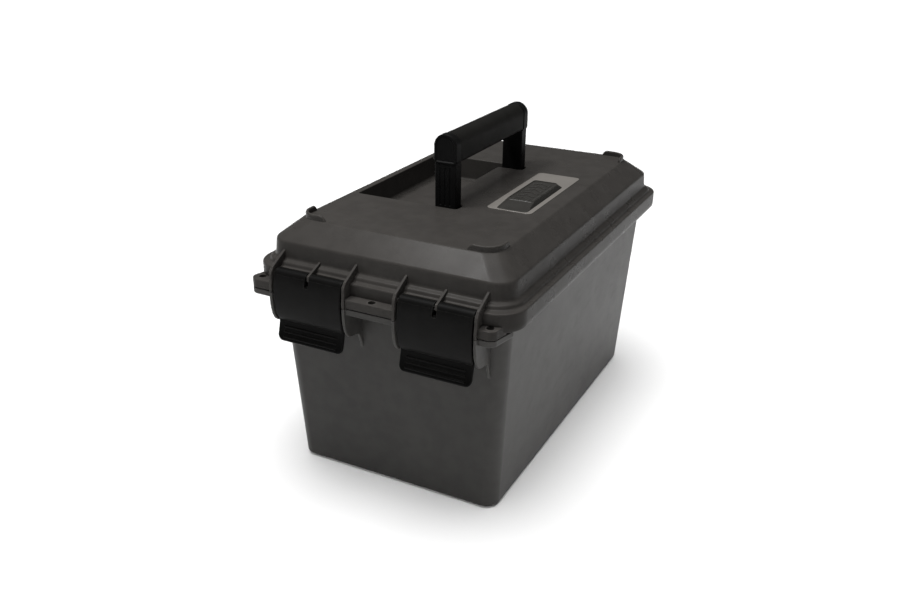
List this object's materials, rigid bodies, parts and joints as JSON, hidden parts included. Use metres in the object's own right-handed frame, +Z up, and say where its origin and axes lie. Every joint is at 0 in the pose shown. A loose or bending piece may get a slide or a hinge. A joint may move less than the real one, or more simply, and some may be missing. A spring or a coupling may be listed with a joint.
{
  "type": "latched storage box",
  "caption": "Rigid plastic carry box with a hinged sealed lid, draw-down latches at one end and a handle that folds into the lid.",
  "frame": {"origin": "centre of the base on the plane of the feet undersides, under the middle of the outer box", "axes": "+Z up, +Y from the latch end to the hinge end along the length, +X to the right seen from the latch end"},
  "size_m": [0.218, 0.3632, 0.2645],
  "materials": {
    "shell": "dark warm grey polypropylene, satin with a slight sheen",
    "latch": "black satin moulded plastic",
    "handle": "black satin moulded plastic",
    "grip": "very dark grey, matt",
    "rubber": "black seal rubber",
    "steel": "plain drawn wire and bar"
  },
  "bodies": {
    "tub": {"tub": "shell", "hinge_pin_left": "steel", "hinge_pin_right": "steel"},
    "lid": {"lid": "shell", "lid_seal": "rubber", "latch_pin_left": "steel", "latch_pin_right": "steel", "handle_pin_front": "steel", "handle_pin_rear": "steel"},
    "latch_left": {"latch_left": "latch"},
    "latch_right": {"latch_right": "latch"},
    "handle": {"handle_post_front": "handle", "handle_post_rear": "handle", "handle_grip": "grip", "handle_core_bar": "steel"}
  },
  "joints": [
    {"name": "lid_hinge", "type": "hinge", "parent": "tub", "child": "lid", "pos_m": [0, 0.1768, 0.1585], "axis": [-1, 0, 0], "range_deg": [0, 105]},
    {"name": "latch_left_hinge", "type": "hinge", "parent": "lid", "child": "latch_left", "pos_m": [-0.0528, -0.1742, 0.1723], "axis": [-1, 0, 0], "range_deg": [0, 110]},
    {"name": "latch_right_hinge", "type": "hinge", "parent": "lid", "child": "latch_right", "pos_m": [0.0528, -0.1742, 0.1723], "axis": [-1, 0, 0], "range_deg": [0, 110]},
    {"name": "handle_fold", "type": "hinge", "parent": "lid", "child": "handle", "pos_m": [0.0025, 0, 0.1977], "axis": [0, -1, 0], "range_deg": [0, 90]}
  ]
}
